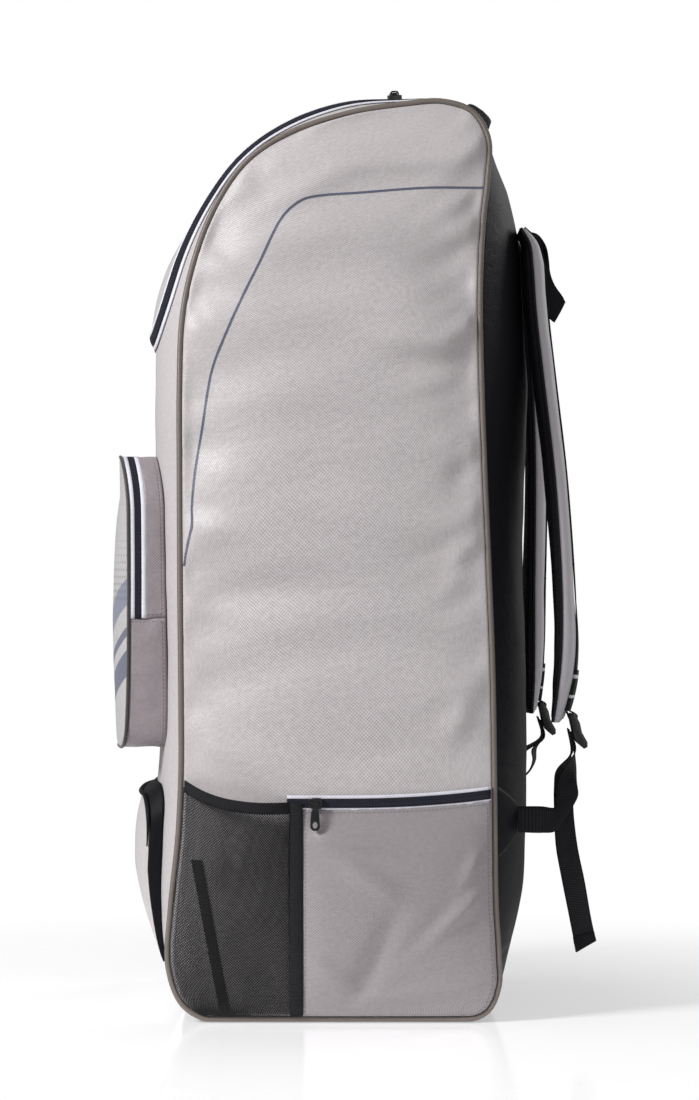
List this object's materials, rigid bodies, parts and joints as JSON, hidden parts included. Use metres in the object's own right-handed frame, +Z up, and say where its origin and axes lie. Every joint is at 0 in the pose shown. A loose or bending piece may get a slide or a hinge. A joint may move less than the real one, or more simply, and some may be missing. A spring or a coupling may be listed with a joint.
{
  "type": "cricket kit bag",
  "caption": "Tall upright soft kit bag with a zipped top flap, zipped front, side and open mesh pockets, padded back panel, shoulder straps, top handle and haul loop.",
  "frame": {"origin": "centre of the base on the floor", "axes": "+Z up, +Y towards the padded back and its straps, -Y towards the front pockets, +X towards the side with the mesh pocket"},
  "size_m": [0.3997, 0.5084, 0.9541],
  "materials": {
    "body_cloth": "light greige ballistic nylon in a small diamond weave",
    "pocket_cloth": "taupe plain nylon",
    "gusset_cloth": "mauve grey coated nylon",
    "pocket_print": "light nylon with plain slate bands",
    "black_cloth": "black nylon, padded on the back",
    "black_mesh": "black open net and spacer mesh",
    "strap_cloth": "grey padded nylon",
    "piping": "taupe brown corded piping",
    "zip_tape": "dark navy coil zip",
    "zip_edge": "white woven tape",
    "webbing": "black ribbed polypropylene webbing",
    "black_plastic": "black moulded acetal"
  },
  "bodies": {
    "root": {"side_panel_right": "body_cloth", "side_panel_left": "body_cloth", "piping_right": "piping", "piping_left": "piping", "base_panel": "black_cloth", "back_panel": "black_cloth", "top_panel": "body_cloth", "front_panel": "body_cloth", "main_flap": "body_cloth", "main_zip_tape": "zip_tape", "main_zip_edge_outer": "zip_edge", "main_zip_edge_inner": "zip_edge", "main_zip_slider": "black_plastic", "main_zip_pull": "black_plastic", "front_pocket_gusset": "gusset_cloth", "front_pocket_zip_edge_inner": "zip_edge", "front_pocket_zip_tape": "zip_tape", "front_pocket_zip_edge_outer": "zip_edge", "front_pocket_base_gusset": "gusset_cloth", "front_pocket_piping": "piping", "front_pocket_face": "pocket_print", "front_pocket_slider": "black_plastic", "lower_pocket_band": "black_cloth", "lower_pocket_face": "body_cloth", "lower_pocket_edge": "black_cloth", "mesh_pocket": "black_mesh", "mesh_pocket_binding": "black_cloth", "mesh_pocket_tape": "black_cloth", "mesh_pocket_under_band": "black_cloth", "cool_pocket": "pocket_cloth", "side_zip_tape": "zip_tape", "side_zip_edge_upper": "zip_edge", "side_zip_edge_lower": "zip_edge", "side_zip_slider": "black_plastic", "side_zip_pull": "black_plastic", "top_handle": "webbing", "shoulder_strap_cover_right": "strap_cloth", "shoulder_strap_lining_right": "black_mesh", "strap_webbing_right": "webbing", "strap_tab_right": "webbing", "strap_buckle_right": "black_plastic", "shoulder_strap_cover_left": "strap_cloth", "shoulder_strap_lining_left": "black_mesh", "strap_webbing_left": "webbing", "strap_tab_left": "webbing", "strap_buckle_left": "black_plastic", "lower_webbing_right": "webbing", "strap_tail_right": "webbing", "lower_webbing_left": "webbing", "strap_tail_left": "webbing", "anchor_wing_right": "black_cloth", "anchor_wing_left": "black_cloth", "haul_loop": "webbing"}
  },
  "joints": []
}
